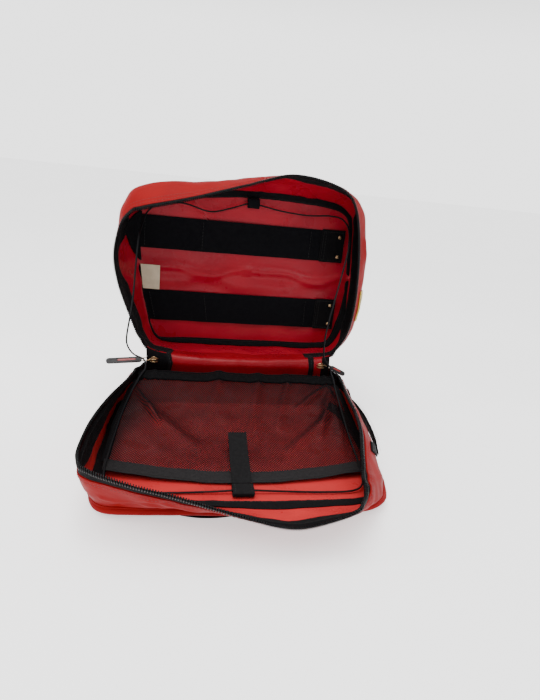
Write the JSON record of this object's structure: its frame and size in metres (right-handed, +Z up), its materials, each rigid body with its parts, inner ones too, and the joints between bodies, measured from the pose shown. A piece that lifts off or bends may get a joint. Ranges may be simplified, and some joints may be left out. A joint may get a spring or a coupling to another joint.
{
  "type": "trauma backpack",
  "caption": "Clamshell emergency backpack shown opened: coated-fabric base and lid trays with a zip round three sides, mesh pocket, webbing bands and elastic cord.",
  "frame": {"origin": "on the ground under the middle of the back panel, on the underside of the spine pad", "axes": "+X along the hinge towards the carry handle (the pack's top when worn), +Y from the free front edge to the hinge, +Z up from the ground; the lid stands up at rest"},
  "size_m": [0.3987, 0.4536, 0.3848],
  "materials": {
    "red_fabric": "glossy coated",
    "black_webbing": "woven matte",
    "black_mesh": "open net",
    "black_zip": "matte",
    "elastic_cord": "braided",
    "black_foam": "spacer mesh over foam",
    "black_plastic": "moulded",
    "metal": "nickel plated",
    "puller_rubber": "moulded with a red inlay",
    "white_label": "blank satin label",
    "yellow_tag": "coated"
  },
  "bodies": {
    "base": {"base_shell": "red_fabric", "base_zip_tape": "black_zip", "base_zip_coil": "black_zip", "base_seam_binding": "black_webbing", "mesh_pocket": "black_mesh", "mesh_pocket_hem": "black_webbing", "mesh_pocket_top_band": "black_webbing", "front_cord_loop": "black_webbing", "base_cord": "elastic_cord", "handle_patch_front": "black_webbing", "handle_patch_back": "black_webbing", "back_pad": "black_foam", "lumbar_pad": "black_foam", "shoulder_strap_left": "black_foam", "shoulder_strap_right": "black_foam", "strap_webbing_left": "black_webbing", "strap_webbing_right": "black_webbing", "ladder_lock_left": "black_plastic", "ladder_lock_right": "black_plastic", "hinge_panel_base": "red_fabric", "hinge_binding_left": "black_webbing", "hinge_binding_right": "black_webbing", "zip_slider_left": "metal", "zip_slider_right": "metal"},
    "lid": {"lid_shell": "red_fabric", "lid_zip_tape": "black_zip", "lid_zip_coil": "black_zip", "lid_seam_binding": "black_webbing", "upper_band": "black_webbing", "lower_band": "black_webbing", "upper_band_patch": "black_webbing", "lower_band_patch": "black_webbing", "rivet_upper_top": "metal", "rivet_upper_bottom": "metal", "rivet_lower_top": "metal", "rivet_lower_bottom": "metal", "lid_cord_tab": "black_webbing", "lid_cord": "elastic_cord", "left_stay_cord": "elastic_cord", "right_stay_cord": "elastic_cord", "care_label": "white_label", "side_tag": "yellow_tag", "hinge_panel_lid": "red_fabric", "front_pocket": "red_fabric", "front_pocket_zip": "black_zip", "front_pocket_slider": "metal"},
    "closure_strap": {"closure_strap": "black_webbing"},
    "zip_puller_left": {"zip_puller_left": "puller_rubber"},
    "zip_puller_right": {"zip_puller_right": "puller_rubber"},
    "carry_handle": {"carry_handle": "black_webbing"},
    "front_pocket_puller": {"front_pocket_puller": "puller_rubber"}
  },
  "joints": [
    {"name": "lid_hinge", "type": "hinge", "parent": "base", "child": "lid", "pos_m": [0.016, 0.109, 0.101], "axis": [1, 0, 0], "range_deg": [-55, 90], "deforming": ["left_stay_cord", "right_stay_cord"]},
    {"name": "closure_strap_peel", "type": "hinge", "parent": "base", "child": "closure_strap", "pos_m": [0.001, -0.1, 0.0293], "axis": [1, 0, 0], "range_deg": [0, 110]},
    {"name": "left_puller_swing", "type": "hinge", "parent": "base", "child": "zip_puller_left", "pos_m": [-0.1245, 0.1075, 0.1025], "axis": [0, 1, 0], "range_deg": [-3, 65]},
    {"name": "right_puller_swing", "type": "hinge", "parent": "base", "child": "zip_puller_right", "pos_m": [0.152, 0.1075, 0.1045], "axis": [0, 1, 0], "range_deg": [-65, 4]},
    {"name": "carry_handle_swing", "type": "hinge", "parent": "base", "child": "carry_handle", "pos_m": [0.19425, 0.007, 0.052], "axis": [0.0436, 0.999, 0], "range_deg": [-5, 10]},
    {"name": "pocket_puller_swing", "type": "hinge", "parent": "lid", "child": "front_pocket_puller", "pos_m": [0.164, 0.24294, 0.29918], "axis": [1, 0, 0], "range_deg": [0, 90]}
  ]
}
